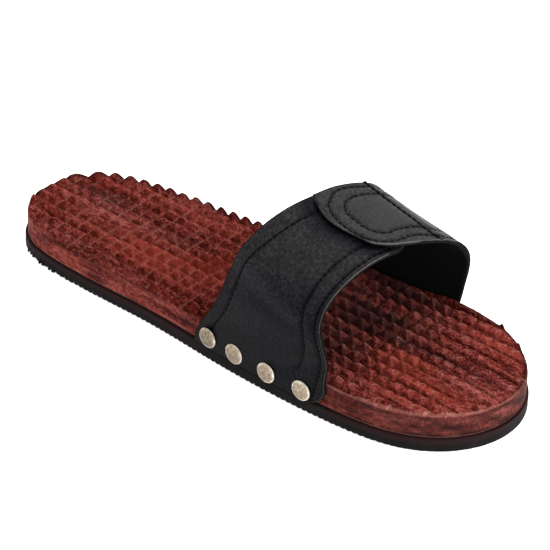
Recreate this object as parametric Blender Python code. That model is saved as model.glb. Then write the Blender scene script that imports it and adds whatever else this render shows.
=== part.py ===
"""Massage slipper for the right foot.

A rubber outsole carries a wooden footbed whose top is sawn into small pyramids. A leather strap in two
halves, closed on the crown by a round-ended flap, is nailed to the sides of the wood with dome tacks.

Sizes are in millimetres and become metres when a mesh is made. +Y points to the toe, +X to the lateral
side, +Z up. The floor is z = 0 and the origin is under the middle of the shoe.
"""
import math

import bmesh
import bpy
import numpy as np
from mathutils import Matrix, Vector

MM = 0.001
CLEARANCE = 0.3

LENGTH = 278.0
BALL_HALF_WIDTH = 46.5
INSTEP_HEIGHT = 83.2
OUTLINE_STEPS = 44
CUTTER_REACH = 20.0

OUTSOLE_TOP = 6.6
OUTSOLE_EDGE = 0.6
FOOTBED_BOTTOM = OUTSOLE_TOP + CLEARANCE
FOOTBED_TOP = 21.6
FOOTBED_INSET = 0.4

GROOVE_BOTTOM = 17.6
GROOVE_HEADROOM = 1.6
GROOVE_FLARE = 0.15
TIP_WIDTH = 0.9
PITCH_ACROSS = 7.2
PITCH_ALONG = 7.4
LATTICE_TURN = math.radians(-3.0)
LATTICE_SHIFT_ACROSS = -2.5
LATTICE_SHIFT_ALONG = 2.8
GROOVES_ALONG = 17
GROOVES_ACROSS = 43
SAW_REACH_ALONG = 0.6 * LENGTH
SAW_REACH_ACROSS = 0.3 * LENGTH

STRAP_WALL = 2.2
STRAP_COLUMNS = (0.0, 0.05, 0.15, 0.30, 0.45, 0.60, 0.75, 0.87, 0.94, 0.98, 1.0)
LATERAL_STEPS = 30
MEDIAL_STEPS = 28
LATERAL_END = 0.605
TONGUE_SETBACK = 0.10
TONGUE_RANGE = (0.50, 0.555)
FLAP_BITE = 0.15
FLAP_LIFT = STRAP_WALL - FLAP_BITE
LIFT_RANGE = (0.625, 0.75)

TACK_RADIUS = 5.2
TACK_DOME = 1.2
TACK_RIM = 0.35
SHANK_RADIUS = 0.85
SHANK_LENGTH = 9.0
SHANK_POINT = 1.6
TACK_STEPS = 14
HOLE_REACH = 8.0
HOLE_STEPS = 12

# share of length from the heel, fullness and midline as shares of the ball's half width
OUTLINE = (
    (0.00, 1.520, 0.113),
    (0.05, 1.323, 0.059),
    (0.12, 1.112, 0.033),
    (0.22, 0.957, 0.013),
    (0.36, 0.875, -0.003),
    (0.50, 0.929, -0.008),
    (0.66, 1.047, -0.003),
    (0.78, 1.198, 0.001),
    (0.88, 1.389, -0.005),
    (0.95, 1.523, -0.021),
    (1.00, 1.634, -0.047),
)

# height above the floor and inset from the footbed's side, from the bottom edge up over the rounded rim
FOOTBED_RIM = (
    (FOOTBED_BOTTOM, 0.5),
    (FOOTBED_BOTTOM + 0.6, 0.0),
    (17.0, 0.0),
    (18.8, 0.3),
    (20.4, 0.9),
    (21.2, 1.7),
    (FOOTBED_TOP, 2.8),
)

# share of half length from the middle and height of the top, where it rolls down to the toe
TOE_ROLL = (
    (0.60, FOOTBED_TOP + 0.5),
    (0.72, 21.3),
    (0.82, 20.7),
    (0.91, 19.8),
    (0.97, 18.9),
    (1.02, 18.0),
)

# place along the arch, then share of half width, share of length and share of instep at each edge
STRAP = (
    ("lateral hem", 0.000, 1.000, -0.0360, 0.087, 1.000, 0.2306, 0.087),
    ("lateral rim", 0.058, 1.000, -0.0270, 0.198, 1.000, 0.2435, 0.198),
    ("lateral wall", 0.142, 0.987, 0.0065, 0.397, 1.000, 0.2522, 0.385),
    ("lateral shoulder", 0.247, 0.925, 0.0353, 0.679, 0.967, 0.2327, 0.589),
    ("lateral crown", 0.368, 0.648, 0.0669, 0.921, 0.620, 0.2396, 0.787),
    ("crown", 0.500, 0.015, 0.1022, 1.000, 0.015, 0.2612, 0.844),
    ("medial crown", 0.632, -0.604, 0.1275, 0.892, -0.595, 0.2864, 0.754),
    ("medial shoulder", 0.753, -0.861, 0.1122, 0.655, -0.943, 0.2948, 0.591),
    ("medial wall", 0.858, -0.958, 0.0781, 0.397, -1.008, 0.2849, 0.379),
    ("medial rim", 0.942, -1.000, 0.0349, 0.198, -1.000, 0.2759, 0.198),
    ("medial hem", 1.000, -1.000, -0.0040, 0.087, -1.000, 0.2691, 0.087),
)

# share across the strap and place along the arch of the flap's round end, from its rear to its front corner
FLAP_OUTLINE = (
    (0.00, 0.4800),
    (0.05, 0.4705),
    (0.15, 0.4625),
    (0.30, 0.4535),
    (0.45, 0.4515),
    (0.60, 0.4560),
    (0.75, 0.4630),
    (0.87, 0.4725),
    (0.94, 0.4900),
    (0.98, 0.5180),
    (1.00, 0.5560),
)

# place along the length and height of each tack, from the rear forward
LATERAL_TACKS = ((-0.3, 13.4), (16.5, 12.7), (36.3, 12.0), (57.1, 12.2))
MEDIAL_TACKS = ((9.7, 13.2), (27.7, 12.5), (47.2, 12.2), (67.7, 12.4))


def clear_scene():
    for item in list(bpy.data.objects):
        bpy.data.objects.remove(item, do_unlink=True)


def make_material(name, colour, roughness, metallic=0.0):
    material = bpy.data.materials.new(name)
    material.use_nodes = True
    shader = material.node_tree.nodes["Principled BSDF"]
    shader.inputs["Base Color"].default_value = (*colour, 1.0)
    shader.inputs["Roughness"].default_value = roughness
    shader.inputs["Metallic"].default_value = metallic
    return material


def add_object(name, mesh_data, material=None, smooth=False):
    bmesh.ops.recalc_face_normals(mesh_data, faces=mesh_data.faces[:])
    bmesh.ops.scale(mesh_data, vec=(MM, MM, MM), verts=mesh_data.verts[:])
    mesh = bpy.data.meshes.new(name)
    mesh_data.to_mesh(mesh)
    mesh_data.free()
    item = bpy.data.objects.new(name, mesh)
    bpy.context.scene.collection.objects.link(item)
    if material:
        mesh.materials.append(material)
    for polygon in mesh.polygons:
        polygon.use_smooth = smooth
    return item


def add_tool(name, mesh_data):
    tool = add_object(name, mesh_data)
    tool.hide_render = True
    tool.display_type = "WIRE"
    return tool


def boolean(item, operation, tool):
    modifier = item.modifiers.new(operation.lower() + " " + tool.name, "BOOLEAN")
    modifier.operation = operation
    modifier.solver = "EXACT"
    modifier.object = tool


def spline(knots, rows, at):
    """Natural cubic curve through the rows of a table, read at the given places."""
    step = np.diff(knots)
    count = len(knots)
    system = np.eye(count)
    right = np.zeros_like(rows)
    for k in range(1, count - 1):
        system[k, k - 1:k + 2] = (step[k - 1], 2 * (step[k - 1] + step[k]), step[k])
        right[k] = 6 * ((rows[k + 1] - rows[k]) / step[k] - (rows[k] - rows[k - 1]) / step[k - 1])
    bend = np.linalg.solve(system, right)
    k = np.clip(np.searchsorted(knots, at) - 1, 0, count - 2)
    width = step[k][..., None]
    low = (knots[k + 1] - at)[..., None] / width
    high = 1 - low
    curve = low * rows[k] + high * rows[k + 1]
    return curve + ((low ** 3 - low) * bend[k] + (high ** 3 - high) * bend[k + 1]) * width ** 2 / 6


def sole_section(along):
    """Midline and half width of the sole at each place along its length."""
    table = np.array(OUTLINE)
    turn = np.arccos(np.clip(-along / (LENGTH / 2), -1, 1))
    columns = spline(np.arccos(1 - 2 * table[:, 0]), table[:, 1:] * BALL_HALF_WIDTH, turn)
    return columns[..., 1], columns[..., 0] * np.sin(turn)


def sole_loop(inset):
    """Closed outline, moved inward by the inset."""
    along = -LENGTH / 2 * np.cos(np.linspace(0, math.pi, OUTLINE_STEPS + 1))
    middle, half = sole_section(along)
    lateral = np.stack([middle + half, along], axis=1)
    medial = np.stack([middle - half, along], axis=1)[-2:0:-1]
    loop = np.concatenate([lateral, medial])
    tangent = np.roll(loop, -1, axis=0) - np.roll(loop, 1, axis=0)
    tangent /= np.linalg.norm(tangent, axis=1)[:, None]
    inward = np.stack([-tangent[:, 1], tangent[:, 0]], axis=1)
    return loop + inset * inward


def loft(rings):
    """Solid through loops of equal count, each given with its height, closed by flat caps."""
    solid = bmesh.new()
    levels = [[solid.verts.new((x, y, height)) for x, y in loop] for loop, height in rings]
    count = len(levels[0])
    for lower, upper in zip(levels, levels[1:]):
        for k in range(count):
            after = (k + 1) % count
            solid.faces.new((lower[k], lower[after], upper[after], upper[k]))
    solid.faces.new(levels[0][::-1])
    solid.faces.new(levels[-1])
    return solid


def prism(solid, section, start, end, frame):
    """Straight bar with a flat section in x and z, run along y and placed by the frame."""
    ends = [[solid.verts.new(frame @ Vector((x, y, z))) for x, z in section] for y in (start, end)]
    count = len(section)
    for k in range(count):
        after = (k + 1) % count
        solid.faces.new((ends[0][k], ends[0][after], ends[1][after], ends[1][k]))
    solid.faces.new(ends[0][::-1])
    solid.faces.new(ends[1])


def lathe(profile, steps):
    """Solid of revolution about z from a profile of radius and height that starts and ends on the axis."""
    solid = bmesh.new()
    rings = []
    for radius, height in profile:
        if radius == 0:
            rings.append([solid.verts.new((0, 0, height))])
            continue
        turns = [2 * math.pi * k / steps for k in range(steps)]
        ring = [solid.verts.new((radius * math.cos(t), radius * math.sin(t), height)) for t in turns]
        rings.append(ring)
    for first, second in zip(rings, rings[1:]):
        for k in range(steps):
            after = (k + 1) % steps
            corners = [first[k % len(first)], first[after % len(first)]]
            corners += [second[after % len(second)], second[k % len(second)]]
            solid.faces.new(list(dict.fromkeys(corners)))
    return solid


def strap_point(place, across):
    """Grain side of the strap at a place along the arch, from the rear edge (0) to the front edge (1)."""
    table = np.array([row[1:] for row in STRAP])
    columns = spline(table[:, 0], table[:, 1:], place)
    share = (1 - across) * columns[..., 0] + across * columns[..., 3]
    along = LENGTH * ((1 - across) * columns[..., 1] + across * columns[..., 4])
    height = INSTEP_HEIGHT * ((1 - across) * columns[..., 2] + across * columns[..., 5])
    middle, half = sole_section(along)
    side = half - FOOTBED_INSET + CLEARANCE + STRAP_WALL
    return np.stack([middle + share * side, along, height], axis=-1)


def strap_normal(place, across):
    nudge = 0.004
    low = np.clip(place - nudge, 0, 1)
    high = np.clip(place + nudge, 0, 1)
    along_arch = strap_point(high, across) - strap_point(low, across)
    along_shoe = strap_point(place, np.ones_like(across)) - strap_point(place, np.zeros_like(across))
    normal = np.cross(along_shoe, along_arch)
    return normal / np.linalg.norm(normal, axis=-1)[..., None]


def strap_half(start, end, front, lift, steps):
    """Thick sheet of the strap between two curves across it, out to its front edge, raised by the lift."""
    column, run = np.meshgrid(STRAP_COLUMNS, np.linspace(0, 1, steps + 1))
    place = start(column) + run * (end(column) - start(column))
    across = column * front(place)
    normal = strap_normal(place, across)
    grain = strap_point(place, across) + lift(place)[..., None] * normal
    flesh = grain - STRAP_WALL * normal
    solid = bmesh.new()
    sheets = [[[solid.verts.new(point) for point in row] for row in sheet] for sheet in (grain, flesh)]
    for sheet in sheets:
        for row, following in zip(sheet, sheet[1:]):
            for k in range(len(STRAP_COLUMNS) - 1):
                solid.faces.new((row[k], row[k + 1], following[k + 1], following[k]))
    top, under = sheets
    rims = (
        ([row[0] for row in top], [row[0] for row in under]),
        ([row[-1] for row in top], [row[-1] for row in under]),
        (top[0], under[0]),
        (top[-1], under[-1]),
    )
    for upper, lower in rims:
        for k in range(len(upper) - 1):
            solid.faces.new((upper[k], upper[k + 1], lower[k + 1], lower[k]))
    return solid


def lateral_end(across):
    """Straight end of the lateral half, hidden under the flap."""
    return np.full_like(across, LATERAL_END)


def smooth_step(value, low, high):
    share = np.clip((value - low) / (high - low), 0, 1)
    return share * share * (3 - 2 * share)


def tongue_front(place):
    """Front edge of the lateral half, set back where the flap covers it."""
    return 1 - TONGUE_SETBACK * smooth_step(place, *TONGUE_RANGE)


def flap_end(across):
    """Round end of the flap: a small corner at the rear and a wide one at the front."""
    return np.interp(across, *np.transpose(FLAP_OUTLINE))


def flap_lift(place):
    """Height of the medial half over the arch: one wall where it lies on the lateral half."""
    return FLAP_LIFT * (1 - smooth_step(place, *LIFT_RANGE))


def tack_frame(side, along, height):
    """Place on the strap's grain side with z pointing straight out of the sole's edge."""
    reach = np.array([along - 1.0, along, along + 1.0])
    middle, half = sole_section(reach)
    edge = middle + side * (half - FOOTBED_INSET + CLEARANCE + STRAP_WALL)
    slope = (edge[2] - edge[0]) / 2.0
    outward = Vector((side, -side * slope, 0)).normalized()
    turn = outward.to_track_quat("Z", "Y").to_matrix().to_4x4()
    return Matrix.Translation((edge[1], along, height)) @ turn


def tack_profile():
    """Point of the shank, shank, flat underside, rim and dome of one tack."""
    under = CLEARANCE
    profile = [(0, -SHANK_LENGTH - SHANK_POINT), (SHANK_RADIUS, -SHANK_LENGTH)]
    profile += [(SHANK_RADIUS, under), (TACK_RADIUS, under)]
    for turn in np.radians((0, 22, 45, 68)):
        profile.append((TACK_RADIUS * math.cos(turn), under + TACK_RIM + TACK_DOME * math.sin(turn)))
    profile.append((0, under + TACK_RIM + TACK_DOME))
    return profile


def groove_bars(pitch, count, shift, reach, quarter_turn):
    """Row of saw cuts, V-shaped in section, side by side across the lattice."""
    section_half = (pitch - TIP_WIDTH) / 2
    flare = FOOTBED_TOP + GROOVE_FLARE
    top = FOOTBED_TOP + GROOVE_HEADROOM
    bars = bmesh.new()
    frame = Matrix.Rotation(LATTICE_TURN + quarter_turn, 4, "Z")
    for k in range(count):
        centre = shift + (k - count // 2) * pitch
        section = [(centre, GROOVE_BOTTOM), (centre + section_half, flare), (centre + section_half, top)]
        section += [(centre - section_half, top), (centre - section_half, flare)]
        prism(bars, section, -reach, reach, frame)
    return bars


clear_scene()
rubber = make_material("black rubber", (0.012, 0.011, 0.012), 0.75)
wood = make_material("red brown wood", (0.19, 0.028, 0.020), 0.5)
leather = make_material("black leather", (0.016, 0.016, 0.018), 0.45)
brass = make_material("pale brass", (0.42, 0.36, 0.29), 0.35, 1.0)

outsole = add_object(
    "outsole",
    loft([(sole_loop(OUTSOLE_EDGE), 0), (sole_loop(0), OUTSOLE_EDGE), (sole_loop(0), OUTSOLE_TOP)]),
    rubber,
)

footbed = add_object(
    "footbed",
    loft([(sole_loop(FOOTBED_INSET + inset), height) for height, inset in FOOTBED_RIM]),
    wood,
)
toe_section = [(share * LENGTH / 2, height) for share, height in TOE_ROLL]
toe_end = LENGTH / 2 + CUTTER_REACH
toe_section += [(toe_end, TOE_ROLL[-1][1]), (toe_end, FOOTBED_TOP + CUTTER_REACH)]
toe_section += [(toe_section[0][0], FOOTBED_TOP + CUTTER_REACH)]
toe_bar = bmesh.new()
across = Matrix.Rotation(math.radians(90), 4, "Z")
prism(toe_bar, toe_section, -SAW_REACH_ACROSS, SAW_REACH_ACROSS, across)
toe_roll = add_tool("toe_roll", toe_bar)
saw_along = add_tool(
    "saw_cuts_along",
    groove_bars(PITCH_ACROSS, GROOVES_ALONG, LATTICE_SHIFT_ACROSS, SAW_REACH_ALONG, 0.0),
)
saw_across = add_tool(
    "saw_cuts_across",
    groove_bars(PITCH_ALONG, GROOVES_ACROSS, LATTICE_SHIFT_ALONG, SAW_REACH_ACROSS, math.radians(90)),
)

upper = add_object(
    "upper_strap",
    strap_half(np.zeros_like, lateral_end, tongue_front, np.zeros_like, LATERAL_STEPS),
    leather,
    smooth=True,
)
medial_half = add_tool(
    "strap_medial_half",
    strap_half(flap_end, np.ones_like, np.ones_like, flap_lift, MEDIAL_STEPS),
)

hole_profile = [(0, -SHANK_LENGTH - SHANK_POINT - CLEARANCE)]
hole_profile += [(SHANK_RADIUS + CLEARANCE, -SHANK_LENGTH - SHANK_POINT - CLEARANCE)]
hole_profile += [(SHANK_RADIUS + CLEARANCE, HOLE_REACH), (0, HOLE_REACH)]
holes = bmesh.new()
for side, side_name, rows in ((1, "lateral", LATERAL_TACKS), (-1, "medial", MEDIAL_TACKS)):
    for number, (along, height) in enumerate(rows, start=1):
        frame = tack_frame(side, along, height)
        tack = lathe(tack_profile(), TACK_STEPS)
        bmesh.ops.transform(tack, matrix=frame, verts=tack.verts[:])
        add_object("tack_" + side_name + "_" + str(number), tack, brass, smooth=True)
        hole = lathe(hole_profile, HOLE_STEPS)
        bmesh.ops.transform(hole, matrix=frame, verts=hole.verts[:])
        piece = bpy.data.meshes.new("hole")
        hole.to_mesh(piece)
        hole.free()
        holes.from_mesh(piece)
        bpy.data.meshes.remove(piece)
tack_holes = add_tool("tack_holes", holes)

boolean(footbed, "DIFFERENCE", toe_roll)
boolean(footbed, "DIFFERENCE", saw_along)
boolean(footbed, "DIFFERENCE", saw_across)
boolean(footbed, "DIFFERENCE", tack_holes)
boolean(upper, "UNION", medial_half)
boolean(upper, "DIFFERENCE", tack_holes)
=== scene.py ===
# %% [markdown]
# # A massage slipper, worked out with arrays
# The shoe is a wooden board sawn into small pyramids on a black rubber sheet, with a black leather strap nailed over
# it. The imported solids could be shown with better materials, but their facets are coarse, so each one is replaced by
# a finer surface made from the same tables.

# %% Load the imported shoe
import math

import bpy
import numpy as np
from mathutils import Matrix, Vector


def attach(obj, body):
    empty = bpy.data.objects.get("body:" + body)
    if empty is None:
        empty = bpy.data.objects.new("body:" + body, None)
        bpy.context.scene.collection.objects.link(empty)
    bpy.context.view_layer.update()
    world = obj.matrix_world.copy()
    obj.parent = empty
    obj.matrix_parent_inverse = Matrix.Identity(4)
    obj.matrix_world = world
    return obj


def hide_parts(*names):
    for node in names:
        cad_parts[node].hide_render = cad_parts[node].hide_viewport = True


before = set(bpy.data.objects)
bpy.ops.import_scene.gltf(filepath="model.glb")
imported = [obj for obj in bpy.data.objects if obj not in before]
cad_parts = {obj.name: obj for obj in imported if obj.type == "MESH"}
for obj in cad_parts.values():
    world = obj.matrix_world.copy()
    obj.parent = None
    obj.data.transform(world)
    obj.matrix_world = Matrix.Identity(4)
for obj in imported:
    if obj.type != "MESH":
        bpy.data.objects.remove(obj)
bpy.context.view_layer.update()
scene = bpy.context.scene
MM = 0.001
TURN = 2 * math.pi

# %% [markdown]
# ## The camera
# The photo was taken from the toe and lateral side, some 34 degrees above the floor, with a long lens rolled by two
# degrees. A constraint could aim the camera, but the view is known as three angles and a distance, so three turns and
# a step back make its matrix.

# %% Camera
AZIMUTH, ELEVATION, ROLL = np.radians((126.9, 33.75, 2.0))
FOCAL_PIXELS, IMAGE_PIXELS = 3000.0, 550.0
SENSOR_WIDTH = 36.0
CAMERA_DISTANCE = 1425.6
LOOK_AT = Vector((-8.55, -3.05, 19.8))
FARTHEST_METRES = 100.0

camera = bpy.data.objects.new("camera", bpy.data.cameras.new("camera"))
camera.data.sensor_width = SENSOR_WIDTH
camera.data.lens = FOCAL_PIXELS * SENSOR_WIDTH / IMAGE_PIXELS
camera.data.clip_end = FARTHEST_METRES
turns = (Matrix.Rotation(AZIMUTH, 4, "Z") @ Matrix.Rotation(math.pi / 2 - ELEVATION, 4, "X")
         @ Matrix.Rotation(ROLL, 4, "Z"))
step_back = Matrix.Translation((0, 0, CAMERA_DISTANCE * MM))
camera.matrix_world = Matrix.Translation(LOOK_AT * MM) @ turns @ step_back
scene.collection.objects.link(camera)
scene.camera = camera
print("lens in mm", round(camera.data.lens, 1))

# %% [markdown]
# ## The outline of the sole
# A shoe sole has no simple formula. A hand-drawn curve would do, but a short table of widths with a smooth curve
# through it is easy to read and to correct. The angle runs once round the sole: 0 is the heel, a quarter turn the
# lateral side and half a turn the toe.

# %% Outline of the sole
LENGTH = 278.0
BALL_HALF_WIDTH = 46.5
# radians to either side of a point that give the outline's direction
ANGLE_STEP = 0.002
# share of length from the heel, fullness and midline as shares of the ball's half width
OUTLINE = np.array((
    (0.00, 1.520, 0.113), (0.05, 1.323, 0.059), (0.12, 1.112, 0.033), (0.22, 0.957, 0.013),
    (0.36, 0.875, -0.003), (0.50, 0.929, -0.008), (0.66, 1.047, -0.003), (0.78, 1.198, 0.001),
    (0.88, 1.389, -0.005), (0.95, 1.523, -0.021), (1.00, 1.634, -0.047),
))


def spline(knots, rows, at):
    """Natural cubic curve: the bends at the knots solve one set of equations, so that slope and bend run on."""
    step = np.diff(knots)
    inner = np.arange(1, len(knots) - 1)
    system = np.eye(len(knots))
    system[inner, inner - 1] = step[:-1]
    system[inner, inner] = 2 * (step[:-1] + step[1:])
    system[inner, inner + 1] = step[1:]
    pull = np.zeros_like(rows)
    pull[1:-1] = 6 * np.diff(np.diff(rows, axis=0) / step[:, None], axis=0)
    bend = np.linalg.solve(system, pull)
    k = np.clip(np.searchsorted(knots, at) - 1, 0, len(knots) - 2)
    width = step[k][..., None]
    low = (knots[k + 1] - at)[..., None] / width
    high = 1 - low
    curve = low * rows[k] + high * rows[k + 1]
    return curve + ((low ** 3 - low) * bend[k] + (high ** 3 - high) * bend[k + 1]) * width ** 2 / 6


def unit(vectors):
    """Each vector divided by its length."""
    return vectors / np.linalg.norm(vectors, axis=-1)[..., None]


def walked(points):
    """Length of a path up to each of its points."""
    return np.concatenate([[0], np.cumsum(np.linalg.norm(np.diff(points, axis=0), axis=1))])


def sole_section(along):
    """Fullness, midline and half width in mm at places along the shoe, by the angle whose cosine is the place."""
    angle = np.arccos(np.clip(-along / (LENGTH / 2), -1, 1))
    columns = spline(np.arccos(1 - 2 * OUTLINE[:, 0]), OUTLINE[:, 1:] * BALL_HALF_WIDTH, angle)
    return columns[..., 0], columns[..., 1], columns[..., 0] * np.sin(angle)


def outline(angle, inset=0.0):
    """Along = minus half the length times the cosine, across = midline plus fullness times the sine, and the
    inset moves the point inward, square to the curve."""
    def edge(a):
        """The outline without an inset."""
        along = -LENGTH / 2 * np.cos(a)
        full, middle, _ = sole_section(along)
        return np.stack([middle + full * np.sin(a), along], axis=-1)
    tangent = unit(edge(angle + ANGLE_STEP) - edge(angle - ANGLE_STEP))
    inward = np.stack([-tangent[..., 1], tangent[..., 0]], axis=-1)
    return edge(angle) + np.asarray(inset)[..., None] * inward


print("outline in mm", round(float(walked(outline(np.linspace(0, TURN, 2000)))[-1])))

# %% [markdown]
# ## Helpers
# Colours are read off as sRGB codes and shaders want linear light, so one function turns them. One adds a shader
# node, and one puts arrays into a mesh. Bmesh could build meshes face by face, but whole arrays are faster and keep
# each shape a formula.

# %% Helpers for colours, nodes, meshes and curves
RIPPLE_SIZE = 128


def linear(code):
    """sRGB hex code to linear colour: a short straight part near black, then the 2.4 power."""
    value = np.array([int(code[k:k + 2], 16) for k in (1, 3, 5)]) / 255
    light = np.where(value <= 0.04045, value / 12.92, ((value + 0.055) / 1.055) ** 2.4)
    return (*light.tolist(), 1.0)


def fill(tree, node, sockets):
    """Gives each named socket its value, or links it to an output, or to the first output of a node."""
    for name, value in sockets.items():
        if isinstance(value, bpy.types.Node):
            value = value.outputs[0]
        if isinstance(value, bpy.types.NodeSocket):
            tree.links.new(value, node.inputs[name])
        else:
            node.inputs[name].default_value = value


def add_node(tree, kind, sockets=None, stops=(), **settings):
    """Adds a node with its settings, fills its sockets, and sets the stops of a ramp."""
    made = tree.nodes.new("ShaderNode" + kind)
    for name, value in settings.items():
        setattr(made, name, value)
    fill(tree, made, sockets or {})
    for number, (place, code) in enumerate(stops):
        elements = made.color_ramp.elements
        stop = elements[number] if number < len(elements) else elements.new(place)
        stop.position, stop.color = place, linear(code)
    return made


def new_material(name, turn=0.0):
    """A material with its tree, its shader and the place on the shoe in mm, turned about the upright."""
    material = bpy.data.materials.new(name)
    material.use_nodes = True
    tree = material.node_tree
    place = add_node(tree, "TexCoord").outputs["Object"]
    place_mm = add_node(tree, "Mapping", {"Vector": place, "Scale": (1 / MM,) * 3, "Rotation": (0, 0, turn)})
    return material, tree, tree.nodes["Principled BSDF"], place_mm


def add_piece(name, points, faces, materials, replaced, marks=None, kinds=None):
    """Points in mm and faces become a smooth mesh at the origin; marks are values kept on its points, and kinds
    the number of each face's material."""
    mesh = bpy.data.meshes.new(name)
    mesh.from_pydata((points * MM).tolist(), [], faces)
    for material in materials:
        mesh.materials.append(material)
    for label, values in (marks or {}).items():
        mark = mesh.attributes.new(label, "FLOAT", "POINT")
        mark.data.foreach_set("value", np.ascontiguousarray(values, dtype=np.float32))
    if kinds is not None:
        mesh.polygons.foreach_set("material_index", np.ascontiguousarray(kinds, dtype=np.int32))
    mesh.shade_smooth()
    piece = bpy.data.objects.new(name, mesh)
    scene.collection.objects.link(piece)
    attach(piece, "root")
    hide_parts(*replaced)
    print(name, len(points), "points,", sum(len(face) - 2 for face in faces), "triangles")


def hoops(rings, size):
    """Quads between neighbouring rings of points, each ring closed on itself."""
    k, base = np.arange(size), size * np.arange(rings - 1)[:, None]
    after = np.roll(k, -1)
    return np.stack([base + k, base + after, base + size + after, base + size + k], axis=-1).reshape(-1, 4)


def tube_faces(count, rings, size, inside_out=False):
    """Faces of a number of equal tubes, each a row of rings with a flat end on both sides."""
    k = np.arange(size)
    quads, ends = hoops(rings, size), np.stack([k[::-1], k + (rings - 1) * size])
    if inside_out:
        quads, ends = quads[:, [0, 3, 2, 1]], ends[:, ::-1]
    first = rings * size * np.arange(count)[:, None, None]
    return (first + quads).reshape(-1, 4).tolist() + (first + ends).reshape(-1, size).tolist()


def ease(value, low, high):
    """0 at low, 1 at high and a smooth step between; it falls where low is the larger of the two."""
    share = np.clip((value - low) / (high - low), 0, 1)
    return share * share * (3 - 2 * share)


def bell(gap, half_width):
    """1 at no distance, falling off smoothly over the half width."""
    return np.exp(-(gap / half_width) ** 2)


def soft_min(a, b, blend):
    """The lower of two heights, rounded over a blend in mm where they cross."""
    return -blend * np.logaddexp(-a / blend, -b / blend)


def ripple(u, v, seed):
    """Smooth random field between -1 and 1: seeded values on whole-number points, eased between them."""
    table = np.random.default_rng(seed).uniform(-1, 1, (RIPPLE_SIZE, RIPPLE_SIZE))
    i, j = np.floor(u).astype(int), np.floor(v).astype(int)
    s, t = ease(u - i, 0, 1), ease(v - j, 0, 1)
    i, after = i % RIPPLE_SIZE, (i + 1) % RIPPLE_SIZE
    near, far = (table[i, k % RIPPLE_SIZE] * (1 - s) + table[after, k % RIPPLE_SIZE] * s for k in (j, j + 1))
    return near * (1 - t) + far * t


print("helpers ready")

# %% [markdown]
# ## Rosewood, sawn and stained
# The board is a hard red-brown wood, sawn without sanding and stained. The eye gets streaks of grey brown and orange
# red along the grain, fine pores and pale torn fibre on tips. Painted shade darkens the lengthwise grooves, the sides
# of the pyramids that face the lateral side, the far rim and the wood under the strap, and painted highlights, with
# some torn fibre, lighten the crosswise cuts, the ridge edges and the toe's rim. A texture with rings would show too
# much order, so stretched noise draws the streaks, and values kept on the mesh say where a groove or a tip is, and
# where light and shade are painted.

# %% Rosewood material
LATTICE_TURN = math.radians(3.0)
wood, tree, shader, grain_mm = new_material("rosewood, sawn and stained", LATTICE_TURN)
# each noise: width and length in mm, detail, and its share of the tone
NOISES = (("streak", 2.4, 60, 4, 0.40), ("pore", 0.5, 9, 3, 0.25), ("patch", 15, 38, 2, 0.25),
          ("mottle", 1.5, 2.6, 3, 0.55), ("fleck", 0.7, 1.4, 2, 0.0))
noises, mixed = {}, 0.0
for label, width, length, detail, share in NOISES:
    stretched = add_node(tree, "Mapping", {"Vector": grain_mm, "Scale": (1 / width, 1 / length, 1 / width)})
    noises[label] = add_node(tree, "TexNoise", {
        "Vector": stretched, "Scale": 1.0, "Detail": detail, "Roughness": 0.6})
    if share:
        mixed = add_node(tree, "Math", {0: noises[label], 1: share, 2: mixed}, operation="MULTIPLY_ADD")
stain_and_shade_fac, painted_shade_fac, line_highlight_fac, tipped, scuff_and_highlight_fac, raw = (
    add_node(tree, "Attribute", attribute_name=label).outputs["Fac"]
    for label in ("stain_and_shade", "painted_shade", "painted_line_highlight", "tip", "scuff_and_highlight", "raw"))
centred = add_node(tree, "Math", {0: noises["fleck"], 1: 0.5}, operation="SUBTRACT")
speckled = add_node(tree, "Math", {0: centred, 1: raw, 2: mixed}, operation="MULTIPLY_ADD")
colour = add_node(tree, "ValToRGB", {"Fac": speckled}, stops=(
    (0.58, "#240604"), (0.68, "#551710"), (0.76, "#76302a"), (0.88, "#8c4c45")))
dark_stain_and_shade = add_node(tree, "Math", {0: stain_and_shade_fac, 1: -1.0}, operation="MULTIPLY")
torn = add_node(tree, "MapRange", {"Value": noises["fleck"], "From Min": 0.55, "From Max": 0.68})
pale_tip = add_node(tree, "Math", {0: tipped, 1: torn}, operation="MULTIPLY")
line_highlight = add_node(tree, "Math", {0: line_highlight_fac, 1: noises["streak"]}, operation="MULTIPLY")
# what lies over the tone, its colour, and how much of it at most: orange red stains, grey brown stains with
# painted shade under the strap, painted shade, pale lines of painted highlight, pale tips, and scuffs with painted
# highlights
for factor, code, most in (
        (stain_and_shade_fac, "#983b2d", 0.55), (dark_stain_and_shade, "#2a1213", 0.82), (painted_shade_fac, "#260404", 0.85),
        (line_highlight, "#98665a", 0.75), (pale_tip, "#a8786b", 0.85), (scuff_and_highlight_fac, "#a07268", 0.85)):
    share = add_node(tree, "Math", {0: factor, 1: most}, operation="MULTIPLY", use_clamp=True)
    colour = add_node(tree, "Mix", {0: share, 6: colour, 7: linear(code)}, data_type="RGBA").outputs[2]
fill(tree, shader, {
    "Base Color": colour,
    "Roughness": add_node(tree, "MapRange", {"Value": noises["pore"], "To Min": 0.70, "To Max": 0.50}),
    "Normal": add_node(tree, "Bump", {"Height": mixed, "Strength": 0.7, "Distance": 0.001}),
    "Specular IOR Level": 0.02})
print("wood nodes", len(tree.nodes))

# %% [markdown]
# ## The pyramids
# Two sets of saw cuts leave a pyramid between each four grooves. A boolean would cut them sharp and all alike. Here
# the top is a height over a grid that is turned with the cuts: the lower of two zigzags, with its own depth for each
# groove and its own broken tip for each pyramid, rounded where blade and feet have worn it.

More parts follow.
